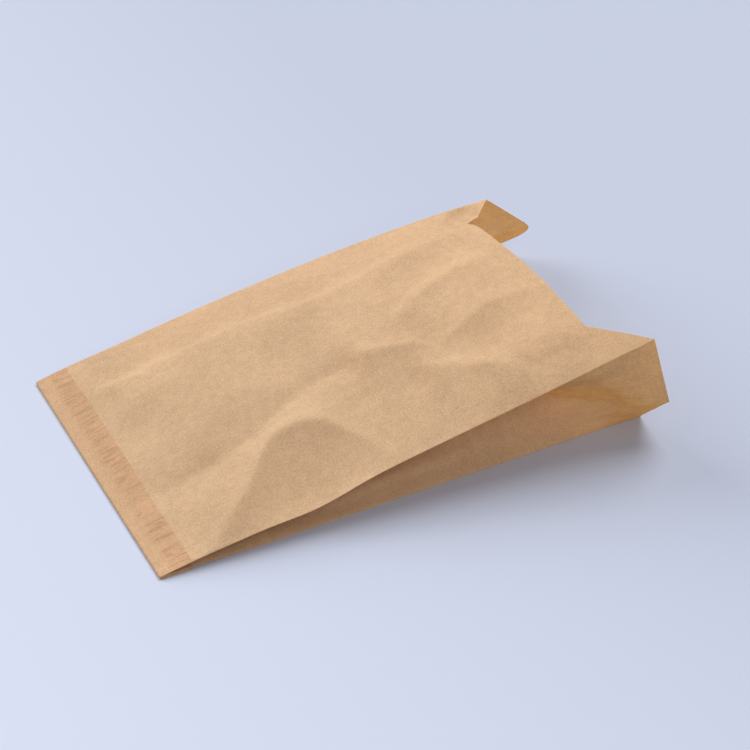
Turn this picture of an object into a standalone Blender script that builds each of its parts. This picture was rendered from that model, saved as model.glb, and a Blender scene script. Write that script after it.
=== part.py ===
"""A brown paper bag lying on its back panel, one folded and glued sheet, closed at one end.

X runs along the bag from the closed end to the mouth, Y across it, Z up.
The side that opens furthest at the mouth is at -Y.
"""
import math

import bmesh
import bpy
from mathutils import Vector

# Overall sizes of the bag, in metres
BAG_WIDTH = 0.180
BAG_LENGTH = 0.285
GUSSET_HALF = 0.038
PAPER = 0.0003
FOLD_RADIUS = 0.00042
FOLD_SPREAD = 0.0003

# The end flap, folded under and glued
FLAP_LENGTH = 0.018
FLAP_LIFT = 0.0012
PANEL_SETTLE = 0.035

# How far the mouth stands open
NEAR_RISE = 0.0630
FAR_RISE = 0.0505
LEAN_NEAR = 0.0135
LEAN_FAR = 0.0170
CROWN = 0.0090
CROWN_START = 0.070

# The front panel's mouth edge, cut back between two slanted ends
NEAR_CORNER_BACK = 0.006
FAR_CORNER_BACK = 0.005
CUT_DEPTH = 0.027
CUT_START = 0.150
CUT_END = 0.865

# The gussets near the mouth, one pushed out and one only opened
NEAR_TURN = 0.070
NEAR_FLIP = 0.019
NEAR_SLANT = 0.026
NEAR_PUSH = -0.85
NEAR_DROP = 0.0035
FAR_TURN = 0.070
FAR_PUSH = 0.27
FAR_REACH = 0.023

# The pressed hollow beside the near edge
DENT_DEPTH = 0.0045
DENT_AT = 0.095
DENT_SPREAD = 0.026
DENT_REACH = 0.045

# How finely the folded sheet is divided
ROW_STEP = 0.0095
MOUTH_STEP = 0.0055
GUSSET_STRIPS = 4
BACK_STRIPS = 8

NODE = "paper_bag"


def ease(value):
    """Go smoothly from 0 to 1 while value goes from 0 to 1."""
    value = min(1.0, max(0.0, value))
    return value * value * (3.0 - 2.0 * value)


def mix(first, second, share):
    return first + (second - first) * share


def back_height(s):
    """Height of the back panel's middle surface, lifted by the flap at the closed end."""
    settled = ease((s - FLAP_LENGTH) / PANEL_SETTLE)
    return PAPER / 2.0 + FLAP_LIFT * (1.0 - settled)


def dent(s, from_edge):
    """Depth of the pressed hollow, by distance from the near edge of the front panel."""
    along = math.exp(-((s - DENT_AT) / DENT_SPREAD) ** 2)
    across = math.exp(-(from_edge / DENT_REACH) ** 2)
    return DENT_DEPTH * along * across


def gusset_crease(top, bottom, inward, push):
    """Middle crease of a side gusset, level with the middle of its opening."""
    opening = math.hypot(top.y - bottom.y, top.z - bottom.z)
    depth = math.sqrt(max(GUSSET_HALF ** 2 - (opening / 2.0) ** 2, (0.1 * GUSSET_HALF) ** 2))
    middle = (top + bottom) / 2.0
    return middle + Vector((0.0, inward * depth * push, 0.0))


def far_edge(s, stacked):
    """Far edge of the front panel, which rises quickly and then levels off."""
    t = s / BAG_LENGTH
    x = s - FAR_CORNER_BACK * ease((t - 0.7) / 0.3)
    y = BAG_WIDTH / 2.0 - LEAN_FAR * t ** 1.3
    return Vector((x, y, mix(stacked, FAR_RISE, 1.0 - (1.0 - t) ** 1.42)))


def near_edge(s, stacked):
    """Near edge of the front panel, which rises evenly apart from its pressed hollow."""
    t = s / BAG_LENGTH
    x = s - NEAR_CORNER_BACK * ease((t - 0.7) / 0.3)
    y = -BAG_WIDTH / 2.0 - LEAN_NEAR * t ** 1.3
    return Vector((x, y, mix(stacked, NEAR_RISE, t ** 1.05) - dent(s, 0.0)))


def crease_lines(s):
    """Centres of the six folds at the distance s from the closed end, and the near gusset's fold side."""
    half = BAG_WIDTH / 2.0
    low = back_height(s) + FOLD_RADIUS
    stacked = low + 4.0 * FOLD_RADIUS
    flip = BAG_LENGTH - NEAR_FLIP
    start = BAG_LENGTH - NEAR_TURN
    before = min(1.0, max(0.0, (s - start) / (flip - start)))
    after = min(1.0, max(0.0, (s - flip) / NEAR_FLIP))
    far_top = far_edge(s, stacked)
    near_top = near_edge(s - NEAR_SLANT * (before ** 1.5 - after), stacked)
    near_bottom = Vector((s, -half, low))
    far_bottom = Vector((s, half, low))
    near_push = 1.0 - ease(before) + NEAR_PUSH * after
    near_mid = gusset_crease(near_top, near_bottom, 1.0, near_push)
    near_mid.x = s
    near_mid.z -= NEAR_DROP * ease(before)
    far_open = ease((s - BAG_LENGTH + FAR_TURN) / FAR_TURN)
    far_push = 1.0 - (1.0 - FAR_PUSH) * far_open
    far_mid = gusset_crease(far_top, far_bottom, -1.0, far_push)
    far_mid.x = s + FAR_REACH * far_open
    near_side = max(-1.0, min(1.0, -near_push / 0.3))
    return far_top, near_top, near_mid, near_bottom, far_bottom, far_mid, near_side


def cut_back(w):
    """How far the front panel's mouth edge is set back at the share w of its width."""
    if w < CUT_START:
        return CUT_DEPTH * w / CUT_START
    if w > CUT_END:
        return CUT_DEPTH * (1.0 - w) / (1.0 - CUT_END)
    return CUT_DEPTH


def front_shares():
    """Shares of the front panel's width that carry a line of points."""
    shares = [CUT_START / 3.0, CUT_START * 2.0 / 3.0, CUT_START]
    strips = 7
    for i in range(1, strips):
        shares.append(mix(CUT_START, CUT_END, i / strips))
    shares += [CUT_END, mix(CUT_END, 1.0, 0.5)]
    return shares


def front_point(s, w, far_top, near_top):
    """Point of the front panel between its far edge and its near edge."""
    t = s / BAG_LENGTH
    point = far_top.lerp(near_top, w)
    point.x -= cut_back(w) * ease((t - 0.66) / 0.34)
    dome = math.sin(math.pi * w ** 0.85)
    point.z += FOLD_RADIUS + CROWN * ease(s / CROWN_START) * dome
    edge_dent = dent(s, 0.0) * w
    point.z -= dent(s, (1.0 - w) * BAG_WIDTH) - edge_dent
    return point


def turned(direction, side):
    """Vector of length side, square to a direction in the section plane."""
    flat = Vector((0.0, direction.y, direction.z)).normalized()
    return Vector((0.0, flat.z, -flat.y)) * side


def fold(centre, before, after, side):
    """Three points round a fold, where side is 1 for an outward fold and -1 for an inward one."""
    coming = Vector((0.0, centre.y - before.y, centre.z - before.z)).normalized()
    leaving = Vector((0.0, after.y - centre.y, after.z - centre.z)).normalized()
    start = turned(coming, side)
    end = turned(leaving, side)
    middle = start + end
    if middle.length < 0.3 * abs(side):
        middle = coming - leaving
    middle = middle.normalized() * abs(side)
    return [
        centre + start * FOLD_RADIUS - coming * FOLD_SPREAD,
        centre + middle * FOLD_RADIUS,
        centre + end * FOLD_RADIUS + leaving * FOLD_SPREAD,
    ]


def strip(first, last, count):
    """Points that divide a straight strip of paper, without its two ends."""
    return [first.lerp(last, i / count) for i in range(1, count)]


def section(s):
    """Middle surface of the sheet at s, as one closed loop of points from the far edge over the front."""
    far_top, near_top, near_mid, near_bottom, far_bottom, far_mid, near_side = crease_lines(s)
    lift = Vector((0.0, 0.0, FOLD_RADIUS))
    front = [front_point(s, w, far_top, near_top) for w in front_shares()]
    loop = fold(far_top, far_mid, front[0] - lift, 1.0)
    loop += front
    loop += fold(near_top, front[-1] - lift, near_mid, 1.0)
    loop += strip(near_top, near_mid, GUSSET_STRIPS)
    loop += fold(near_mid, near_top, near_bottom, near_side)
    loop += strip(near_mid, near_bottom, GUSSET_STRIPS)
    loop += fold(near_bottom, near_mid, far_bottom, 1.0)
    loop += strip(near_bottom - lift, far_bottom - lift, BACK_STRIPS)
    loop += fold(far_bottom, near_bottom, far_mid, 1.0)
    loop += strip(far_bottom, far_mid, GUSSET_STRIPS)
    loop += fold(far_mid, far_bottom, far_top, -1.0)
    loop += strip(far_mid, far_top, GUSSET_STRIPS)
    return loop


def distances():
    """Distances of the loops from the closed end, closer together near the mouth."""
    start = FLAP_LENGTH + PAPER
    turn = BAG_LENGTH - max(NEAR_TURN, FAR_TURN)
    flip = BAG_LENGTH - NEAR_FLIP
    spans = ((start, turn, ROW_STEP), (turn, flip, MOUTH_STEP), (flip, BAG_LENGTH, MOUTH_STEP))
    rows = []
    for first, last, step in spans:
        count = max(2, round((last - first) / step))
        rows += [mix(first, last, i / count) for i in range(count)]
    return rows + [BAG_LENGTH]


def normals(rows):
    """Outward unit normals of the middle surface, one for each point of each row."""
    result = []
    for i, row in enumerate(rows):
        ahead = rows[min(i + 1, len(rows) - 1)]
        behind = rows[max(i - 1, 0)]
        line = []
        for j in range(len(row)):
            round_way = row[(j + 1) % len(row)] - row[j - 1]
            along = ahead[j] - behind[j]
            line.append(round_way.cross(along).normalized())
        result.append(line)
    return result


def end_loop(s, fullness, first_open):
    """Outline of the pressed and glued closed end, matched to the first open loop after it."""
    loop = section(s)
    count = len(loop)
    front_last = len(front_shares()) + 3
    near_bottom = front_last + 2 * GUSSET_STRIPS + 5
    far_bottom = near_bottom + BACK_STRIPS + 1
    side = BAG_WIDTH / 2.0 + FOLD_RADIUS + PAPER / 2.0

    def placed(y, z, top):
        return Vector((s, y, top / 2.0 + (z - top / 2.0) * fullness))

    points = [None] * count
    for j in range(2, front_last + 1):
        top = loop[j].z + PAPER / 2.0
        points[j] = placed(loop[j].y, top, top)
    for j in range(near_bottom + 1, far_bottom + 1):
        points[j] = placed(loop[j].y, 0.0, loop[2].z + PAPER / 2.0)

    near_side = list(range(front_last + 1, near_bottom + 1))
    far_side = [1, 0] + list(range(count - 1, far_bottom, -1))
    for chain, corner, y in ((near_side, front_last, -side), (far_side, 2, side)):
        top = loop[corner].z + PAPER / 2.0
        scale = top / first_open[corner].z
        upper = first_open[chain[1]].z
        lower = first_open[chain[-2]].z
        for i, j in enumerate(chain):
            z = mix(upper, lower, (i - 1) / (len(chain) - 3))
            if i == 0 or i == len(chain) - 1:
                z = first_open[j].z
            points[j] = placed(y, z * scale, top)
    return points


def build_shell():
    """Closed mesh of the sheet: its outside, its inside, the edge at the mouth and both end faces."""
    rows = [section(s) for s in distances()]
    facing = normals(rows)
    half = PAPER / 2.0
    outside = [[p + n * half for p, n in zip(r, f)] for r, f in zip(rows, facing)]
    inside = [[p - n * half for p, n in zip(r, f)] for r, f in zip(rows, facing)]
    start = FLAP_LENGTH + PAPER
    for point in outside[0] + inside[0]:
        point.x = start
    closed = [(0.0, 0.45), (0.0005, 0.80), (0.0014, 1.0), (FLAP_LENGTH / 2.0, 1.0), (FLAP_LENGTH, 1.0)]
    outside = [end_loop(s, fullness, outside[0]) for s, fullness in closed] + outside

    shell = bmesh.new()
    outer = [[shell.verts.new(p) for p in row] for row in outside]
    inner = [[shell.verts.new(p) for p in row] for row in inside]

    def skin(first, second):
        for j in range(len(first)):
            k = (j + 1) % len(first)
            shell.faces.new((first[j], first[k], second[k], second[j]))

    for first, second in zip(outer, outer[1:]):
        skin(first, second)
    for first, second in zip(inner, inner[1:]):
        skin(second, first)
    skin(outer[-1], inner[-1])
    ends = [shell.faces.new(outer[0]), shell.faces.new(inner[0])]
    shell.normal_update()
    bmesh.ops.triangulate(shell, faces=ends, quad_method="BEAUTY", ngon_method="EAR_CLIP")
    bmesh.ops.recalc_face_normals(shell, faces=shell.faces)
    return shell


def centre_on_floor(shell):
    """Put the middle of the footprint at the origin, with the underside at height zero."""
    xs = [v.co.x for v in shell.verts]
    ys = [v.co.y for v in shell.verts]
    low = min(v.co.z for v in shell.verts)
    shift = Vector((-(min(xs) + max(xs)) / 2.0, -(min(ys) + max(ys)) / 2.0, -low))
    bmesh.ops.translate(shell, verts=shell.verts, vec=shift)


def paper_material():
    material = bpy.data.materials.new("brown_paper")
    material.use_nodes = True
    shader = material.node_tree.nodes["Principled BSDF"]
    shader.inputs["Base Color"].default_value = (0.56, 0.36, 0.21, 1.0)
    shader.inputs["Roughness"].default_value = 0.85
    return material


def main():
    for old in list(bpy.data.objects):
        bpy.data.objects.remove(old, do_unlink=True)
    shell = build_shell()
    centre_on_floor(shell)
    mesh = bpy.data.meshes.new(NODE)
    shell.to_mesh(mesh)
    shell.free()
    for face in mesh.polygons:
        face.use_smooth = True
    mesh.set_sharp_from_angle(angle=math.radians(35.0))
    mesh.materials.append(paper_material())
    bag = bpy.data.objects.new(NODE, mesh)
    bpy.context.scene.collection.objects.link(bag)


main()
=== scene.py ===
import math

import bpy
import numpy as np
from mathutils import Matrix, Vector


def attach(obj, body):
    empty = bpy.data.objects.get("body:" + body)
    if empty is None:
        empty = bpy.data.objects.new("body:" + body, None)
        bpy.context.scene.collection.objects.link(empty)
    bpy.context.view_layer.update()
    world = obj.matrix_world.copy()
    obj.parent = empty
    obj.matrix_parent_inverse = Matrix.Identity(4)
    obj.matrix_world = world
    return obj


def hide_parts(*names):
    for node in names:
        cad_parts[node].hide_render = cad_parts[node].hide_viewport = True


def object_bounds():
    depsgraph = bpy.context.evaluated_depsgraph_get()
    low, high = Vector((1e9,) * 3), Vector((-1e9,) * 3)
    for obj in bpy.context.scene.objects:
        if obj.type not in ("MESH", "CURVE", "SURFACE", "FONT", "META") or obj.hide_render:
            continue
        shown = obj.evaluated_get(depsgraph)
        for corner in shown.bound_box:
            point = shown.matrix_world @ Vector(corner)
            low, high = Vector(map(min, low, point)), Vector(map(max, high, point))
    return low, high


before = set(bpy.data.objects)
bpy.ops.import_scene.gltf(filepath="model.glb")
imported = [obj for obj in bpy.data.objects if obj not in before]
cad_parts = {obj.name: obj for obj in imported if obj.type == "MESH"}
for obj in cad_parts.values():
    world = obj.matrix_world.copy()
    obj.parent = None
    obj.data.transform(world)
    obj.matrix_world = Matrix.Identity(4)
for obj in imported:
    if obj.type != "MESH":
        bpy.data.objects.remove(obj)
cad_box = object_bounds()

# Lengths are in metres, apart from the front panel's relief and the waves, which are in millimetres
MM = 0.001

# The bag's own sizes and powers, as in the part's source
BAG_WIDTH = 0.180
BAG_LENGTH = 0.285
GUSSET_HALF = 0.038
FLAP_LENGTH = 0.018
PANEL_SETTLE = 0.035
NEAR_RISE = 0.0630
FAR_RISE = 0.0505
LEAN_NEAR = 0.0135
LEAN_FAR = 0.0170
LEAN_POWER = 1.3
NEAR_RISE_POWER = 1.05
FAR_RISE_POWER = 1.42
CROWN = 0.0090
CROWN_START = 0.070
CROWN_SKEW = 0.85
NEAR_CORNER_BACK = 0.006
FAR_CORNER_BACK = 0.005
CORNER_START = 0.7
CUT_DEPTH = 0.027
CUT_START = 0.150
CUT_END = 0.865
CUT_FADE_START = 0.66
NEAR_TURN = 0.070
NEAR_FLIP = 0.019
NEAR_SLANT = 0.026
NEAR_SLANT_POWER = 1.5
NEAR_PUSH = -0.85
FAR_TURN = 0.070
FAR_PUSH = 0.27
FAR_REACH = 0.023
LEAST_DEPTH = 0.1
SIDE_CHANGE = 0.3

# The mouth is held open, so the front panel swells up to its cut edge
CUT_ROUNDING = 4
SWELL_START = 0.12
SWELL_SPAN = 0.13

# The near gusset's crease hangs lower than in the part's source, and turns out more sharply
NEAR_DROP = 0.0085
NEAR_DROP_PACE = 1.4
NEAR_DROP_LIFT = 0.42
NEAR_TURN_POWER = 2.2
NEAR_PUSH_POWER = 0.65

# The dip of the near edge is a little shallower than in the part's source, and nearer the closed end
DENT_DEPTH = 0.0036
DENT_AT = 0.087
DENT_SPREAD = 0.024

# The thin paper seen here, and how its layers lie where they are pressed together
SHEET = 0.00014
LAYER = 0.00030
FLAP_GAP = 0.00025
FOLD_SPREAD = 0.0002
PIVOT_X = 0.001
PIVOT_Z = SHEET / 2.0 + FLAP_GAP / 2.0 + 3.0 * LAYER
STACKED_LAYERS = 2.5

# A fold counts as folded flat where the sum of its two sides' unit normals is shorter than this
FLAT_FOLD = 0.3

# The whole sheet is lifted by this hair, so that no point of it lies under the floor
FLOOR_GAP = 0.00002

# The far gusset's lower half bellies out at the mouth
FAR_BELLY = 0.012
FAR_BELLY_REACH = 0.045
FAR_BELLY_SKEW = 1.5
FAR_BELLY_COURSE = (0.95, -0.10, -0.10)

# Where the part's frame puts the closed end and the bag's middle line, as its far fold stands out a little
FOLD_BULGE = 0.00057
FOLD_X = cad_box[0][0]
MIDDLE_Y = cad_box[1][1] - BAG_WIDTH / 2.0 - FOLD_BULGE

# The relief of the front panel is given in millimetres, along the bag and across it from the far edge.
# The pressed hollow has a rim, the height of the ridge along that rim, and its fall inside it
HOLLOW_RIM = ((20, 186), (32, 178), (45, 166), (60, 157), (70, 147), (76, 138), (83, 131.5), (95, 128.5),
              (107, 131), (114, 139), (121, 150), (127, 165), (132, 180))
HOLLOW_RIDGE = ((10, 0.0), (22, 1.8), (35, 3.0), (50, 3.9), (70, 4.2), (90, 3.2), (105, 2.2), (118, 1.0),
                (132, 0.0))
HOLLOW_FALL = ((18, 0.0), (35, 3.0), (50, 6.5), (70, 10.0), (90, 10.5), (105, 8.0), (118, 4.4), (132, 1.4),
               (140, 0.0))
HOLLOW_SOFT = 2.4
HOLLOW_REACH = 19.0
HOLLOW_SHARE = 0.95

# Ridges and valleys: height, softness, width on the far side and on the near side, then the line
CREASES = (
    (-1.90, 2.0, 12, 10, ((66, 126), (85, 119), (100, 111), (115, 105), (130, 103), (148, 106))),
    (3.00, 1.2, 15, 18, ((138, 102), (150, 107), (165, 113), (185, 124))),
    (-0.60, 3.0, 12, 8, ((120, 127), (150, 134), (182, 137))),
    (1.90, 2.5, 7, 14, ((160, 131), (180, 141), (200, 152), (216, 163))),
    (1.60, 1.0, 15, 10, ((182, 124), (200, 117), (215, 113), (230, 112), (265, 115), (290, 119))),
    (1.50, 1.2, 11, 13, ((166, 99), (185, 88), (200, 80), (215, 75), (246, 78))),
    (1.40, 2.0, 10, 15, ((176, 57), (195, 46), (210, 42), (248, 44))),
    (0.70, 2.5, 10, 9, ((204, 150), (240, 150), (288, 152))),
    (-0.60, 2.0, 8, 9, ((210, 163), (250, 164), (284, 163))),
    (-1.30, 2.0, 10, 24, ((4, 124), (30, 126), (60, 127), (84, 121))),
)

# The far mouth corner is folded up a little along this valley
CORNER_CREASE = (-5.50, 1.0, 10, 13, ((250, -8), (259, 0), (284, 26), (292, 34)))

# Creases that run across the bag instead, with their widths towards the closed end and the mouth
CROSS_CREASES = (
    (0.80, 1.5, 13, 13, ((48, 53), (70, 52), (100, 53), (128, 51))),
    (0.20, 0.8, 5, 5, ((42, 82), (70, 81), (104, 83))),
)

# Narrow steps that catch the light: height, half width, then the line
STEPS = (
    (2.30, 5.5, ((22, 30), (40, 34), (60, 33), (75, 35), (90, 35), (100, 33), (120, 35), (135, 38), (150, 40),
                 (170, 39), (190, 38), (205, 35), (220, 33), (260, 33), (290, 28))),
    (0.50, 3.0, ((20, 27), (40, 38), (62, 48))),
    (0.50, 4.0, ((166, 96), (180, 84), (200, 74), (220, 69), (245, 66), (288, 63))),
)
STEP_FADE = 24.0

# Each line has its corners rounded, its slope taken over a reach, and its ends faded out
LINE_ROUNDING = (-6.0, -3.0, 0.0, 3.0, 6.0)
SLOPE_REACH = 8.0
LINE_FADE = 14.0

# Broad soft swellings: place along and across, reach and height
SWELLINGS = ((35, 58, 17, 1.00), (50, 102, 9, 0.40), (100, 8, 14, 0.60), (185, 0, 12, 0.55),
             (160, 63, 9, 0.40), (245, 8, 12, 0.45), (150, 160, 16, 0.50))

# Random waves: how many, their shortest and longest length, and their steepness
PANEL_WAVES = (16, 14.0, 60.0, 0.0060)
GUSSET_WAVES = (6, 18.0, 45.0, 0.004)
WAVE_BENDS = (20.0, 60.0)
WAVE_SWING = 6.0

# How strongly all of that relief stands out, and the share of it that is left at the mouth edge
RELIEF = 1.9
MOUTH_SHARE = 0.3
MOUTH_FADE = 38.0

# The relief fades out at the closed end and dies out towards the panel's folded edges
CLOSED_FLAT = 3.0
CLOSED_FADE = 30.0
FAR_REST = 16.0
NEAR_REST = 22.0

# Streaks along the gussets, and where they fade out: at the folds, the closed end and the mouth
STREAK_COUNT = 7
STREAK_LENGTHS = (5.0, 16.0)
STREAK_DRIFTS = (-0.06, 0.06)
STREAK_SWINGS = (14.0, 40.0)
STREAK_STEEPNESS = 0.010
NEAR_STREAKS = 1.0
FAR_STREAKS = 0.6
GUSSET_FOLD_FADE = 6.0
GUSSET_FLAT = 30.0
GUSSET_FADE = 60.0
GUSSET_MOUTH_SHARE = 0.15
GUSSET_MOUTH_FADE = 25.0

# How finely the sheet is divided along the bag and round it
FOLD_POINTS = 3
FLAP_ROWS = 8
BEND_ROWS = 8
ROWS_OVER_FLAP = 11
ROWS_TO_TURN = 119
ROWS_AT_MOUTH = 51
EDGE_SHARE = 0.006
FAR_SHARES = 18
MIDDLE_SHARES = 81
NEAR_SHARES = 17
GUSSET_COUNT = 14
BACK_COUNT = 26
SHARP_ANGLE = math.radians(30.0)
TINY_LENGTH = 1e-9
TINY_AREA = 1e-12

# The photograph's camera, measured from the bag
PHOTO_SIDE = 750
FOCAL_PIXELS = 2000.0
CAMERA_RISE = math.radians(37.14)
CAMERA_TURN = math.radians(27.46)
CAMERA_AWAY = 1.12955
LOOK_ALONG = 0.1728
LOOK_ACROSS = 0.01044
SENSOR_WIDTH = 36.0
CLIP_END = 20.0

# The sheet's own lengths in its UV map: their scale, their start, and the width of the last strip of faces
UV_SPAN = 0.62
UV_START = 0.02
CLOSING_STEP = 0.0003

# The paper's colours, the tints that change them, and the share of each in the mix
PAPER_DARK = (0.772, 0.557, 0.348, 1.0)
PAPER_LIGHT = (0.965, 0.745, 0.500, 1.0)
FIBRE_COLOUR = (0.99, 0.80, 0.57, 1.0)
FLECK_COLOUR = (0.46, 0.27, 0.15, 1.0)
STRIP_TINT = (0.98, 0.86, 0.76, 1.0)
GLUE_TINT = (0.95, 0.84, 0.76, 1.0)
# Painted shade: the tint that darkens the glued strip's puckers
PUCKER_SHADE_TINT = (0.74, 0.64, 0.54, 1.0)
THROUGH_TINT = (1.02, 0.97, 0.62, 1.0)
CLOUD_SHARE = 0.22
PULP_SHARE = 0.24
GRAIN_SHARE = 0.54
FIBRE_SHARE = 0.30
FLECK_SHARE = 0.30
STRIP_SHARE = 0.32
GLUE_SHARE = 0.40
PUCKER_SHADE_SHARE = 0.45
THROUGH_SHARE = 0.42

# The paper's even noises: scale per metre, detail and roughness
CLOUD_NOISE = (28.0, 3.0, 0.55)
PULP_NOISE = (210.0, 3.0, 0.6)
GRAIN_NOISE = (900.0, 3.0, 0.65)

# The stretched noises: their scales per metre along the bag and round it, and their turns in degrees
FIBRE_SCALE = (260.0, 1900.0, 1.0)
CROSSING_SCALE = (300.0, 2100.0, 1.0)
FLECK_SCALE = (420.0, 1500.0, 1.0)
PUCKER_SCALE = (75.0, 420.0, 1.0)
FIBRE_TURN = 24.0
CROSSING_TURN = -38.0
FLECK_TURN = 70.0

# Then the stretched noises' own scale, detail, roughness and distortion
FIBRE_NOISE = (1.0, 2.0, 0.6, 1.2)
FLECK_NOISE = (1.0, 1.0)
PUCKER_NOISE = (1.0, 2.0, 0.5, 0.4)

# Which noise values count as each thing, from none of it to all of it
TONE_RANGE = (0.39, 0.61)
FIBRE_RANGE = (0.60, 0.74)
FLECK_RANGE = (0.70, 0.80)
PUCKER_SHADE_RANGE = (0.50, 0.62)
PULP_RANGE = (0.3, 0.7)

# The glued strip's end is hard, and the glue in it starts some way in
STRIP_EDGE = (-0.0004, 0.0001)
GLUE_EDGE = (-0.0125, -0.0095)

# The paper's surface: how rough and glossy it is, and what its fine bumps are made of
ROUGHNESS = (0.72, 0.88)
PAPER_SPECULAR = 0.28
GRAIN_BUMP = 0.35
PULP_BUMP = 0.65
FIBRE_BUMP = 0.20
PUCKER_BUMP = 2.4
BUMP_STRENGTH = 0.35
BUMP_DEPTH = 0.00022

# The sockets of a colour mix node
MIX_FIRST = 6
MIX_SECOND = 7
MIX_RESULT = 2

# The floor: its size, where its left and right colours are full, and the colour of the light it sends back.
# The right is painted darker than the left: painted shade for light that falls off across the floor
FLOOR_SIZE = 6.0
FLOOR_SHADE_SIDES = (-0.40, 0.15)
FLOOR_LEFT_PAINTED_LIGHT = (0.680, 0.731, 0.882, 1.0)
FLOOR_RIGHT_PAINTED_SHADE = (0.533, 0.580, 0.720, 1.0)
FLOOR_BOUNCE = (0.46, 0.39, 0.30, 1.0)
FLOOR_ROUGHNESS = 0.9

# The light: the room's colour and strength, then each soft sun's name, direction, energy and spread
ROOM_COLOUR = (1.0, 0.975, 0.93, 1.0)
ROOM_STRENGTH = 0.20
SUNS = (
    ("window", (0.44, 0.29, 0.85), 1.85, 40.0),
    ("rake", (-0.50, 0.80, 0.34), 2.10, 45.0),
    ("fill", (-0.10, -0.72, 0.66), 0.75, 30.0),
)

random = np.random.default_rng(31)


def ease(value):
    value = np.clip(value, 0.0, 1.0)
    return value * value * (3.0 - 2.0 * value)


def points(x, y, z):
    x, y, z = np.broadcast_arrays(x, y, z)
    return np.stack([x, y, z], axis=-1)


def mix(first, second, share):
    return first + (second - first) * share


def back_height(s):
    """Height of the back panel, which lies on the flap near the closed end."""
    settled = ease((s - FLAP_LENGTH) / PANEL_SETTLE)
    return mix(PIVOT_Z + FLAP_GAP / 2.0, SHEET / 2.0, settled)


def stacked_height(s):
    """Height of the front panel's folds where the layers are pressed together."""
    return back_height(s) + STACKED_LAYERS * LAYER


def risen_share(s):
    """How far along the bag each place is, from the bend at the closed end to the mouth."""
    return np.clip((s - PIVOT_X) / (BAG_LENGTH - PIVOT_X), 0.0, 1.0)


def corner_share(t):
    """How far each place has come towards the corners of the mouth."""
    return ease((t - CORNER_START) / (1.0 - CORNER_START))


def edge_dip(s):
    """How deep the near edge dips beside the pressed hollow."""
    return DENT_DEPTH * np.exp(-((s - DENT_AT) / DENT_SPREAD) ** 2)


def far_edge(s):
    """Far edge of the front panel."""
    t = risen_share(s)
    x = s - FAR_CORNER_BACK * corner_share(t)
    y = BAG_WIDTH / 2.0 - LEAN_FAR * t ** LEAN_POWER
    return points(x, y, mix(stacked_height(s), FAR_RISE, 1.0 - (1.0 - t) ** FAR_RISE_POWER))


def near_edge(s):
    """Near edge of the front panel, without its dip."""
    t = risen_share(s)
    x = s - NEAR_CORNER_BACK * corner_share(t)
    y = -BAG_WIDTH / 2.0 - LEAN_NEAR * t ** LEAN_POWER
    return points(x, y, mix(stacked_height(s), NEAR_RISE, t ** NEAR_RISE_POWER))


def near_stages(s):
    """How far the near gusset has flattened out, and how far it has turned outward."""
    flip = BAG_LENGTH - NEAR_FLIP
    start = BAG_LENGTH - NEAR_TURN
    before = np.clip((s - start) / (flip - start), 0.0, 1.0)
    after = np.clip((s - flip) / NEAR_FLIP, 0.0, 1.0)
    return before, after


def near_edge_place(s):
    """Where on the near edge each slanted row of the sheet ends."""
    before, after = near_stages(s)
    return s - NEAR_SLANT * (before ** NEAR_SLANT_POWER - after)


def gusset_crease(top, bottom, inward, push, x, drop):
    """A gusset's middle fold, as deep as its two halves reach from the folds above and below."""
    opening = np.hypot(top[:, 1] - bottom[:, 1], top[:, 2] - bottom[:, 2])
    least = (LEAST_DEPTH * GUSSET_HALF) ** 2
    depth = np.sqrt(np.maximum(GUSSET_HALF ** 2 - (opening / 2.0) ** 2, least))
    centre = (top + bottom) / 2.0
    return points(x, centre[:, 1] + inward * depth * push, centre[:, 2] - drop)


def crease_lines(s):
    """The six folds of the open bag at each distance from the closed end."""
    half = BAG_WIDTH / 2.0
    low = back_height(s) + LAYER / 2.0
    before, after = near_stages(s)
    far_top = far_edge(s)
    place = near_edge_place(s)
    near_top = near_edge(place)
    near_top[:, 2] -= edge_dip(place)
    near_bottom = points(s, -half, low)
    far_bottom = points(s, half, low)
    near_push = 1.0 - before ** NEAR_TURN_POWER + NEAR_PUSH * after ** NEAR_PUSH_POWER
    last_third = ease(before * 3.0 - 2.0)
    near_drop = NEAR_DROP * ease(before * NEAR_DROP_PACE) * (1.0 - NEAR_DROP_LIFT * last_third)
    far_open = ease((s - BAG_LENGTH + FAR_TURN) / FAR_TURN)
    far_push = 1.0 - (1.0 - FAR_PUSH) * far_open
    near_mid = gusset_crease(near_top, near_bottom, 1.0, near_push, s, near_drop)
    far_mid = gusset_crease(far_top, far_bottom, -1.0, far_push, s + FAR_REACH * far_open, 0.0)
    near_side = np.clip(-near_push / SIDE_CHANGE, -1.0, 1.0)
    return far_top, near_top, near_mid, near_bottom, far_bottom, far_mid, near_side


def follow(line, place):
    """A line's course at each place, how much its slope narrows it, and its fading at both ends."""
    along, across = zip(*line)
    course = sum(np.interp(place + offset, along, across) for offset in LINE_ROUNDING) / len(LINE_ROUNDING)
    climb = np.interp(place + SLOPE_REACH, along, across) - np.interp(place - SLOPE_REACH, along, across)
    slope = climb / (2.0 * SLOPE_REACH)
    fade = ease((place - along[0]) / LINE_FADE) * ease((along[-1] - place) / LINE_FADE)
    return course, 1.0 / np.sqrt(1.0 + slope ** 2), fade


def crease_height(s, c, height, soft, far_width, near_width, line):
    """A ridge, or a valley where height is negative, that falls away on both sides of its line."""
    course, lean, fade = follow(line, s)
    away = (c - course) * lean
    width = np.where(away < 0.0, far_width, near_width)
    return height * fade * np.exp(-(np.sqrt(away ** 2 + soft ** 2) - soft) / width)


def step_height(s, c, height, half_width, line):
    """A step across its line, down on the far side and up on the near side."""
    course, lean, fade = follow(line, s)
    away = (c - course) * lean
    return height * fade * np.tanh(away / half_width) * np.exp(-np.abs(away) / STEP_FADE)


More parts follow.
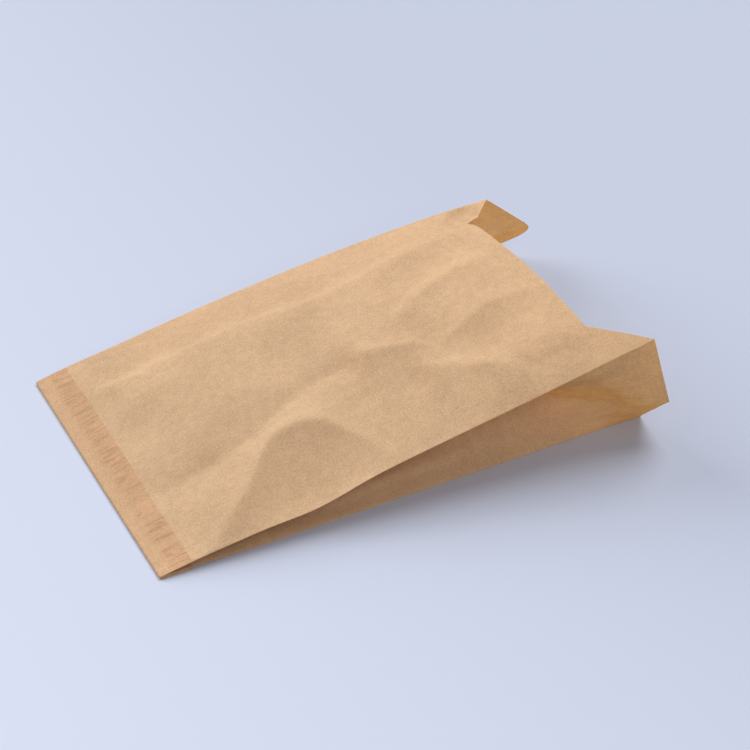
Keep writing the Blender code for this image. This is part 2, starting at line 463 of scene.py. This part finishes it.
def hollow_height(s, c):
    """The pressed hollow by the near edge, with the ridge that bounds it."""
    rim, _, _ = follow(HOLLOW_RIM, s)
    ridge = np.interp(s, *zip(*HOLLOW_RIDGE))
    fall = np.interp(s, *zip(*HOLLOW_FALL))
    below = c - rim
    inside = (below + np.sqrt(below ** 2 + HOLLOW_SOFT ** 2)) / 2.0
    rising = ridge * np.exp((below - inside) / HOLLOW_REACH)
    falling = fall * (1.0 - np.exp(-inside / HOLLOW_REACH))
    return HOLLOW_SHARE * (rising - falling)


def waves(s, c, count, shortest, longest, steepness):
    """Gentle random waves in the paper, as a height in millimetres."""
    total = np.zeros(np.broadcast(s, c).shape)
    for _ in range(count):
        length = random.uniform(shortest, longest)
        angle = random.uniform(0.0, math.pi)
        phase = random.uniform(0.0, 2.0 * math.pi)
        bend = random.uniform(*WAVE_BENDS)
        course = s * math.cos(angle) + c * math.sin(angle) + WAVE_SWING * np.sin((s - c) / bend + phase)
        total += steepness * length * np.sin(2.0 * math.pi * course / length + phase)
    return total / math.sqrt(count)


def front_relief(along, across):
    """Height of the front panel's creases over its plain form."""
    s = along / MM
    c = across / MM
    width = BAG_WIDTH / MM
    height = hollow_height(s, c)
    for crease in CREASES:
        height = height + crease_height(s, c, *crease)
    for crease in CROSS_CREASES:
        height = height + crease_height(c, s, *crease)
    for step in STEPS:
        height = height + step_height(s, c, *step)
    for place_s, place_c, reach, rise in SWELLINGS:
        height = height + rise * np.exp(-((s - place_s) ** 2 + (c - place_c) ** 2) / reach ** 2)
    height = height + waves(s, c, *PANEL_WAVES)
    from_mouth = (BAG_LENGTH - cut_back(across / BAG_WIDTH) - along) / MM
    height = height * RELIEF * mix(MOUTH_SHARE, 1.0, ease(from_mouth / MOUTH_FADE))
    height = height * ease((s - CLOSED_FLAT) / CLOSED_FADE) + crease_height(s, c, *CORNER_CREASE)
    # The folded edges keep their own course, so the creases die out towards them
    far_rest = height[:, :1]
    near_rest = height[:, -1:] + edge_dip(along[:, -1:]) / MM
    height = height - far_rest * np.exp(-c / FAR_REST) - near_rest * np.exp((c - width) / NEAR_REST)
    return height * MM


def cut_back(w):
    """How far the mouth edge is set back at each share of the front panel's width."""
    rising = CUT_DEPTH * w / CUT_START
    falling = CUT_DEPTH * (1.0 - w) / (1.0 - CUT_END)
    return np.minimum(np.minimum(rising, falling), CUT_DEPTH)


def front_panel(s, shares):
    """The front panel, with each point's distance along the flat paper."""
    w = shares[None, :]
    t = np.clip(s / BAG_LENGTH, 0.0, 1.0)[:, None]
    place = near_edge_place(s)
    cut = cut_back(w) * ease((t - CUT_FADE_START) / (1.0 - CUT_FADE_START))
    along = mix(s[:, None], place[:, None], w) - cut
    x = mix(far_edge(s)[:, None, 0], near_edge(place)[:, None, 0], w) - cut
    far = far_edge(along)
    near = near_edge(along)
    y = mix(far[..., 1], near[..., 1], w)
    z = mix(far[..., 2], near[..., 2], w)
    # Ahead of the cut the edges still rise, so the panel takes up that rise before it ends
    far_side = (CUT_START / w) ** CUT_ROUNDING
    near_side = ((1.0 - CUT_END) / (1.0 - w)) ** CUT_ROUNDING
    short = CUT_DEPTH / (far_side + near_side + 1.0) ** (1.0 / CUT_ROUNDING)
    swell = mix(far_edge(BAG_LENGTH)[2] - far_edge(BAG_LENGTH - short)[..., 2],
                near_edge(BAG_LENGTH)[2] - near_edge(BAG_LENGTH - short)[..., 2], w)
    z = z + swell * ease((along - SWELL_START) / SWELL_SPAN)
    z = z + LAYER / 2.0 + CROWN * ease(along / CROWN_START) * np.sin(math.pi * w ** CROWN_SKEW)
    z = z + front_relief(along, np.broadcast_to(w * BAG_WIDTH, along.shape))
    return points(x, y, z), along


def turned(direction, side):
    """Vectors of length side, square to the directions in the section plane."""
    flat = direction[:, 1:]
    flat = flat / np.linalg.norm(flat, axis=1)[:, None]
    return points(0.0, flat[:, 1], -flat[:, 0]) * side[:, None]


def unit(direction):
    """Each direction as a vector of length one in the section plane."""
    flat = direction.copy()
    flat[:, 0] = 0.0
    return flat / np.linalg.norm(flat, axis=1)[:, None]


def fold(centre, before, after, side):
    """The points round each fold, where side is 1 outward and -1 inward."""
    side = np.broadcast_to(side, centre.shape[:1]).astype(float)
    coming = unit(centre - before)
    leaving = unit(after - centre)
    start = turned(coming, side)
    end = turned(leaving, side)
    middle = start + end
    folded = coming - leaving
    sharp = np.linalg.norm(middle, axis=1) < FLAT_FOLD * np.abs(side)
    middle[sharp] = folded[sharp]
    lengths = np.maximum(np.linalg.norm(middle, axis=1), TINY_LENGTH)
    middle = middle / lengths[:, None] * np.abs(side)[:, None]
    reach = LAYER / 2.0
    return np.stack([
        centre + start * reach - coming * FOLD_SPREAD,
        centre + middle * reach,
        centre + end * reach + leaving * FOLD_SPREAD,
    ], axis=1)


def strip(first, last, count):
    """Points across a strip of paper between two folds, without the folds."""
    k = (np.arange(1, count) / count)[None, :, None]
    return first[:, None, :] * (1.0 - k) + last[:, None, :] * k


def crinkled(faces, s, depth):
    """A gusset face with streaks and waves that fade out at its folds and at both ends."""
    count = faces.shape[1]
    k = (np.arange(1, count + 1) / (count + 1))[None, :]
    across = k * GUSSET_HALF / MM
    along = s[:, None] / MM
    streaks = np.zeros((len(s), count))
    for _ in range(STREAK_COUNT):
        length = random.uniform(*STREAK_LENGTHS)
        phase = random.uniform(0.0, 2.0 * math.pi)
        drift = random.uniform(*STREAK_DRIFTS)
        swing = np.sin(along / random.uniform(*STREAK_SWINGS) + phase)
        ripple = np.sin(2.0 * math.pi * (across + drift * along) / length + phase)
        streaks += length * STREAK_STEEPNESS * ripple * (1.0 + swing)
    broad = waves(along, across, *GUSSET_WAVES)
    window = np.minimum(1.0, GUSSET_FOLD_FADE * k * (1.0 - k)) * ease((along - GUSSET_FLAT) / GUSSET_FADE)
    from_mouth = BAG_LENGTH / MM - along
    window = window * mix(GUSSET_MOUTH_SHARE, 1.0, ease(from_mouth / GUSSET_MOUTH_FADE))
    normal = normals_of(faces, closed=False)
    return faces + normal * (window * (streaks * depth + broad) * MM)[:, :, None]


def normals_of(grid, closed=True):
    """Unit normals of a grid of points, whose rows are rings where it is closed."""
    if closed:
        around = np.roll(grid, -1, axis=1) - np.roll(grid, 1, axis=1)
    else:
        around = np.gradient(grid, axis=1)
    along = np.gradient(grid, axis=0)
    normal = np.cross(around, along)
    return normal / np.maximum(np.linalg.norm(normal, axis=2), TINY_AREA)[:, :, None]


def section(s, shares):
    """The whole sheet at each distance s, as rows of points, with each point's place along the paper."""
    far_top, near_top, near_mid, near_bottom, far_bottom, far_mid, near_side = crease_lines(s)
    front, along = front_panel(s, shares)
    lift = np.array([0.0, 0.0, LAYER / 2.0])
    near_upper = crinkled(strip(near_top, near_mid, GUSSET_COUNT), s, NEAR_STREAKS)
    near_lower = crinkled(strip(near_mid, near_bottom, GUSSET_COUNT), s, NEAR_STREAKS)
    far_lower = crinkled(strip(far_bottom, far_mid, GUSSET_COUNT), s, FAR_STREAKS)
    far_upper = crinkled(strip(far_mid, far_top, GUSSET_COUNT), s, FAR_STREAKS)
    k = (np.arange(1, GUSSET_COUNT) / GUSSET_COUNT)[None, :]
    opened = ease((s - BAG_LENGTH + FAR_BELLY_REACH) / FAR_BELLY_REACH)[:, None]
    belly = FAR_BELLY * opened * np.sin(math.pi * k ** FAR_BELLY_SKEW)
    far_lower = far_lower + belly[:, :, None] * np.array(FAR_BELLY_COURSE)
    parts = [
        fold(far_top, far_mid, front[:, 0] - lift, 1.0),
        front,
        fold(near_top, front[:, -1] - lift, near_mid, 1.0),
        near_upper,
        fold(near_mid, near_top, near_bottom, near_side),
        near_lower,
        fold(near_bottom, near_mid, far_bottom, 1.0),
        strip(near_bottom - lift, far_bottom - lift, BACK_COUNT),
        fold(far_bottom, near_bottom, far_mid, 1.0),
        far_lower,
        fold(far_mid, far_bottom, far_top, -1.0),
        far_upper,
    ]
    places = [np.broadcast_to(s[:, None], part.shape[:2]) for part in parts]
    places[1] = along
    return np.concatenate(parts, axis=1), np.concatenate(places, axis=1)


def folded_under(shares):
    """The end flap under the bag and the bend that leads up to the closed end's top."""
    flat, _ = section(np.array([PIVOT_X, PIVOT_X + MM]), shares)
    flat = flat[0]
    height = flat[:, 2] - PIVOT_Z
    rows = []
    places = []
    for x in np.linspace(FLAP_LENGTH, PIVOT_X, FLAP_ROWS)[:-1]:
        rows.append(points(x, flat[:, 1], PIVOT_Z - height))
        places.append(-x)
    for angle in np.linspace(math.pi, 0.0, BEND_ROWS)[:-1]:
        x = PIVOT_X - height * math.sin(angle)
        rows.append(points(x, flat[:, 1], PIVOT_Z + height * math.cos(angle)))
        places.append(-PIVOT_X * angle / math.pi)
    return np.stack(rows), np.broadcast_to(np.array(places)[:, None], (len(places), len(flat)))


def build_bag():
    """The whole bag as one thin sheet with two skins, closed by rims at the mouth and at the flap's end."""
    rows = np.concatenate([
        np.linspace(PIVOT_X, FLAP_LENGTH, ROWS_OVER_FLAP)[:-1],
        np.linspace(FLAP_LENGTH, BAG_LENGTH - NEAR_TURN, ROWS_TO_TURN)[:-1],
        np.linspace(BAG_LENGTH - NEAR_TURN, BAG_LENGTH, ROWS_AT_MOUTH),
    ])
    shares = np.unique(np.concatenate([
        np.linspace(EDGE_SHARE, CUT_START, FAR_SHARES),
        np.linspace(CUT_START, CUT_END, MIDDLE_SHARES),
        np.linspace(CUT_END, 1.0 - EDGE_SHARE, NEAR_SHARES),
    ]).round(6))
    top_grid, top_places = section(rows, shares)
    end_grid, end_places = folded_under(shares)
    grid = np.concatenate([end_grid, top_grid])
    places = np.concatenate([end_places, top_places])
    normal = normals_of(grid)
    outer = grid + normal * SHEET / 2.0
    inner = grid - normal * SHEET / 2.0
    row_count, columns = grid.shape[:2]
    verts = np.concatenate([outer.reshape(-1, 3), inner.reshape(-1, 3)])
    verts = verts + np.array([FOLD_X, MIDDLE_Y, FLOOR_GAP])
    i, j = np.meshgrid(np.arange(row_count - 1), np.arange(columns), indexing="ij")
    k = (j + 1) % columns
    row = i * columns
    outside = np.stack([row + j, row + k, row + columns + k, row + columns + j], axis=-1).reshape(-1, 4)
    offset = row_count * columns
    inside = outside[:, ::-1] + offset
    j = np.arange(columns)
    k = (j + 1) % columns
    last = (row_count - 1) * columns
    mouth = np.stack([last + j, last + k, last + k + offset, last + j + offset], axis=-1)
    flap_end = np.stack([j + offset, k + offset, k, j], axis=-1)
    faces = np.concatenate([outside, inside, mouth, flap_end])
    mesh = bpy.data.meshes.new("bag_sheet")
    mesh.from_pydata(verts.tolist(), [], faces.tolist())
    add_sheet_coordinates(mesh, grid, places)
    for face in mesh.polygons:
        face.use_smooth = True
    mesh.set_sharp_from_angle(angle=SHARP_ANGLE)
    near_crease = 2 * FOLD_POINTS + len(shares) + GUSSET_COUNT - 1
    far_crease = columns - (GUSSET_COUNT - 1) - FOLD_POINTS
    keep_crisp(mesh, columns, near_crease)
    keep_crisp(mesh, columns, far_crease)
    bag = bpy.data.objects.new("bag_sheet", mesh)
    bpy.context.scene.collection.objects.link(bag)
    mesh.materials.append(paper_material())
    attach(bag, "root")
    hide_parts("paper_bag")


def keep_crisp(mesh, columns, first):
    """Mark the columns of one fold as sharp, from its first column on."""
    ends = np.empty(2 * len(mesh.edges), dtype=np.int64)
    mesh.edges.foreach_get("vertices", ends)
    column = ends.reshape(-1, 2) % columns
    inside = (column[:, 0] >= first) & (column[:, 0] < first + FOLD_POINTS)
    crisp = inside & (column[:, 0] == column[:, 1])
    for index in np.flatnonzero(crisp):
        mesh.edges[int(index)].use_edge_sharp = True


def add_sheet_coordinates(mesh, grid, places):
    """Give the sheet a UV map of its own flat lengths: along the bag, and round it."""
    row_count, columns = grid.shape[:2]
    middle = grid[row_count // 2]
    around = np.concatenate([[0.0], np.cumsum(np.linalg.norm(np.diff(middle, axis=0), axis=1))])
    u = (UV_START + places) / UV_SPAN
    v = np.broadcast_to((UV_START + around) / UV_SPAN, (row_count, columns))
    flat = np.stack([u, v], axis=-1).reshape(-1, 2)
    both = np.concatenate([flat, flat])
    corners = np.empty(len(mesh.loops), dtype=np.int64)
    mesh.loops.foreach_get("vertex_index", corners)
    uv = both[corners]
    # The last strip of faces closes the ring, so its far side is one step on and not back at the start
    column = (corners % (row_count * columns)) % columns
    starts = np.empty(len(mesh.polygons), dtype=np.int64)
    mesh.polygons.foreach_get("loop_start", starts)
    for step in range(4):
        closing = np.zeros(len(starts), dtype=bool)
        for other in range(4):
            closing |= column[starts + other] == columns - 1
        wrapped = closing & (column[starts + step] == 0)
        uv[(starts + step)[wrapped], 1] = (UV_START + around[-1] + CLOSING_STEP) / UV_SPAN
    layer = mesh.uv_layers.new(name="sheet")
    layer.data.foreach_set("uv", uv.ravel())


class Nodes:
    """Short calls that add nodes to one material and join them."""

    def __init__(self, name):
        self.material = bpy.data.materials.new(name)
        self.material.use_nodes = True
        self.tree = self.material.node_tree
        self.shader = self.tree.nodes["Principled BSDF"]
        self.output = self.tree.nodes["Material Output"]

    def add(self, kind, inputs=None, **settings):
        node = self.tree.nodes.new(kind)
        for name, value in settings.items():
            setattr(node, name, value)
        for name, value in (inputs or {}).items():
            self.put(node.inputs[name], value)
        return node

    def put(self, socket, value):
        if isinstance(value, bpy.types.NodeSocket):
            self.tree.links.new(value, socket)
        else:
            socket.default_value = value

    def noise(self, place, scale, detail=2.0, roughness=0.5, distortion=0.0):
        settings = {"Vector": place, "Scale": scale, "Detail": detail, "Roughness": roughness,
                    "Distortion": distortion}
        return self.add("ShaderNodeTexNoise", settings).outputs["Fac"]

    def stretched(self, place, scale, turn=0.0):
        settings = {"Vector": place, "Scale": scale, "Rotation": (0.0, 0.0, math.radians(turn))}
        return self.add("ShaderNodeMapping", settings).outputs["Vector"]

    def ranged(self, value, low, high, to_low=0.0, to_high=1.0):
        settings = {"Value": value, "From Min": low, "From Max": high, "To Min": to_low, "To Max": to_high}
        return self.add("ShaderNodeMapRange", settings).outputs["Result"]

    def math(self, operation, first, second):
        node = self.add("ShaderNodeMath", operation=operation)
        self.put(node.inputs[0], first)
        self.put(node.inputs[1], second)
        return node.outputs[0]

    def part(self, value, share):
        """A share of a value."""
        return self.math("MULTIPLY", value, share)

    def blend(self, factor, first, second, kind="MIX"):
        node = self.add("ShaderNodeMix", data_type="RGBA", blend_type=kind)
        self.put(node.inputs["Factor"], factor)
        self.put(node.inputs[MIX_FIRST], first)
        self.put(node.inputs[MIX_SECOND], second)
        return node.outputs[MIX_RESULT]


def paper_material():
    """Brown kraft paper: cloudy, grained and fibrous, and thin enough to let some light through."""
    nodes = Nodes("kraft_paper")
    uv = nodes.add("ShaderNodeUVMap", uv_map="sheet").outputs["UV"]
    sheet = nodes.stretched(uv, (UV_SPAN, UV_SPAN, UV_SPAN))

    # Cloudy pulp, grains and fibres at several sizes
    clouds = nodes.noise(sheet, *CLOUD_NOISE)
    pulp = nodes.noise(sheet, *PULP_NOISE)
    grain = nodes.noise(sheet, *GRAIN_NOISE)
    leaning = nodes.noise(nodes.stretched(sheet, FIBRE_SCALE, FIBRE_TURN), *FIBRE_NOISE)
    crossing = nodes.noise(nodes.stretched(sheet, CROSSING_SCALE, CROSSING_TURN), *FIBRE_NOISE)
    leaning = nodes.ranged(leaning, *FIBRE_RANGE)
    crossing = nodes.ranged(crossing, *FIBRE_RANGE)
    fibres = nodes.math("MAXIMUM", leaning, crossing)
    flecks = nodes.noise(nodes.stretched(sheet, FLECK_SCALE, FLECK_TURN), *FLECK_NOISE)
    flecks = nodes.ranged(flecks, *FLECK_RANGE)

    tone = nodes.math("ADD", nodes.part(clouds, CLOUD_SHARE), nodes.part(pulp, PULP_SHARE))
    tone = nodes.math("ADD", tone, nodes.part(grain, GRAIN_SHARE))
    tone = nodes.ranged(tone, *TONE_RANGE)
    colour = nodes.blend(tone, PAPER_DARK, PAPER_LIGHT)
    colour = nodes.blend(nodes.part(fibres, FIBRE_SHARE), colour, FIBRE_COLOUR)
    colour = nodes.blend(nodes.part(flecks, FLECK_SHARE), colour, FLECK_COLOUR)

    # The glued strip at the closed end: deeper in colour, with short puckers along the bag, and painted shade
    # in dark dashes along the puckers
    split = nodes.add("ShaderNodeSeparateXYZ", {"Vector": sheet})
    along = split.outputs["X"]
    strip_end = UV_START + FLAP_LENGTH
    in_strip = nodes.ranged(along, strip_end + STRIP_EDGE[0], strip_end + STRIP_EDGE[1], 1.0, 0.0)
    glued = nodes.ranged(along, strip_end + GLUE_EDGE[0], strip_end + GLUE_EDGE[1])
    glue = nodes.math("MULTIPLY", in_strip, glued)
    puckers = nodes.noise(nodes.stretched(sheet, PUCKER_SCALE), *PUCKER_NOISE)
    # Painted shade: the puckers' dashes are darkened, standing in for the shade in the small wrinkles
    pucker_shade = nodes.math("MULTIPLY", glue, nodes.ranged(puckers, *PUCKER_SHADE_RANGE))
    colour = nodes.blend(nodes.part(in_strip, STRIP_SHARE), colour, STRIP_TINT, "MULTIPLY")
    colour = nodes.blend(nodes.part(glue, GLUE_SHARE), colour, GLUE_TINT, "MULTIPLY")
    colour = nodes.blend(nodes.part(pucker_shade, PUCKER_SHADE_SHARE), colour, PUCKER_SHADE_TINT, "MULTIPLY")

    # Fine bumps of the grain, the pulp and the fibres, and the puckers
    height = nodes.math("ADD", nodes.part(grain, GRAIN_BUMP), nodes.part(pulp, PULP_BUMP))
    height = nodes.math("ADD", height, nodes.part(fibres, FIBRE_BUMP))
    raised = nodes.math("MULTIPLY", puckers, in_strip)
    height = nodes.math("ADD", height, nodes.part(raised, PUCKER_BUMP))
    settings = {"Height": height, "Strength": BUMP_STRENGTH, "Distance": BUMP_DEPTH}
    bump = nodes.add("ShaderNodeBump", settings).outputs["Normal"]

    nodes.put(nodes.shader.inputs["Base Color"], colour)
    nodes.put(nodes.shader.inputs["Roughness"], nodes.ranged(pulp, *PULP_RANGE, *ROUGHNESS))
    nodes.shader.inputs["Specular IOR Level"].default_value = PAPER_SPECULAR
    nodes.put(nodes.shader.inputs["Normal"], bump)

    # Some light comes through the thin paper, and warmer than it went in
    warm = nodes.blend(1.0, colour, THROUGH_TINT, "MULTIPLY")
    through = nodes.add("ShaderNodeBsdfTranslucent", {"Color": warm, "Normal": bump})
    mixed = nodes.add("ShaderNodeMixShader", {"Fac": THROUGH_SHARE})
    nodes.put(mixed.inputs[1], nodes.shader.outputs["BSDF"])
    nodes.put(mixed.inputs[2], through.outputs["BSDF"])
    nodes.put(nodes.output.inputs["Surface"], mixed.outputs["Shader"])
    return nodes.material


def floor_material():
    """A pale floor, painted a little darker towards the right: painted shade for light that falls off across
    it.
    """
    nodes = Nodes("pale_floor")
    place = nodes.add("ShaderNodeTexCoord").outputs["Object"]
    split = nodes.add("ShaderNodeSeparateXYZ", {"Vector": place})
    # Painted shade: the floor's colour darkens from left to right, standing in for the light falling off
    side = nodes.ranged(split.outputs["X"], *FLOOR_SHADE_SIDES)
    pale = nodes.blend(side, FLOOR_LEFT_PAINTED_LIGHT, FLOOR_RIGHT_PAINTED_SHADE)
    # Seen directly or in a reflection the floor is pale blue, and the light that it sends back is less so
    path = nodes.add("ShaderNodeLightPath").outputs
    seen = nodes.math("MAXIMUM", path["Is Camera Ray"], path["Is Glossy Ray"])
    seen = nodes.math("MAXIMUM", seen, path["Is Transmission Ray"])
    colour = nodes.blend(seen, FLOOR_BOUNCE, pale)
    nodes.put(nodes.shader.inputs["Base Color"], colour)
    nodes.shader.inputs["Roughness"].default_value = FLOOR_ROUGHNESS
    nodes.shader.inputs["Specular IOR Level"].default_value = 0.0
    return nodes.material


def build_floor():
    bpy.ops.mesh.primitive_plane_add(size=FLOOR_SIZE)
    floor = bpy.context.object
    floor.name = "floor"
    floor.data.materials.append(floor_material())


def build_light():
    world = bpy.data.worlds.new("soft_room")
    bpy.context.scene.world = world
    world.use_nodes = True
    background = world.node_tree.nodes["Background"]
    background.inputs["Color"].default_value = ROOM_COLOUR
    background.inputs["Strength"].default_value = ROOM_STRENGTH
    for sun in SUNS:
        add_sun(*sun)


def add_sun(name, towards, energy, spread):
    """A soft far light, seen in the direction towards and spread degrees wide."""
    lamp = bpy.data.lights.new(name, "SUN")
    lamp.angle = math.radians(spread)
    lamp.energy = energy
    sun = bpy.data.objects.new(name, lamp)
    bpy.context.scene.collection.objects.link(sun)
    sun.location = towards
    sun.rotation_euler = (-Vector(towards)).to_track_quat("-Z", "Y").to_euler()


def build_camera():
    """The camera that the photograph was solved for, aimed at a point on the floor under the bag."""
    data = bpy.data.cameras.new("camera")
    data.sensor_width = SENSOR_WIDTH
    data.lens = FOCAL_PIXELS / PHOTO_SIDE * data.sensor_width
    data.clip_end = CLIP_END
    camera = bpy.data.objects.new("camera", data)
    bpy.context.scene.collection.objects.link(camera)
    back = Vector((
        -math.sin(CAMERA_TURN) * math.cos(CAMERA_RISE),
        -math.cos(CAMERA_TURN) * math.cos(CAMERA_RISE),
        math.sin(CAMERA_RISE),
    ))
    target = Vector((FOLD_X + LOOK_ALONG, MIDDLE_Y + LOOK_ACROSS, 0.0))
    camera.location = target + back * CAMERA_AWAY
    camera.rotation_euler = (-back).to_track_quat("-Z", "Y").to_euler()
    bpy.context.scene.camera = camera


build_floor()
build_light()
build_camera()
build_bag()

scene = bpy.context.scene
scene.view_settings.view_transform = "Standard"
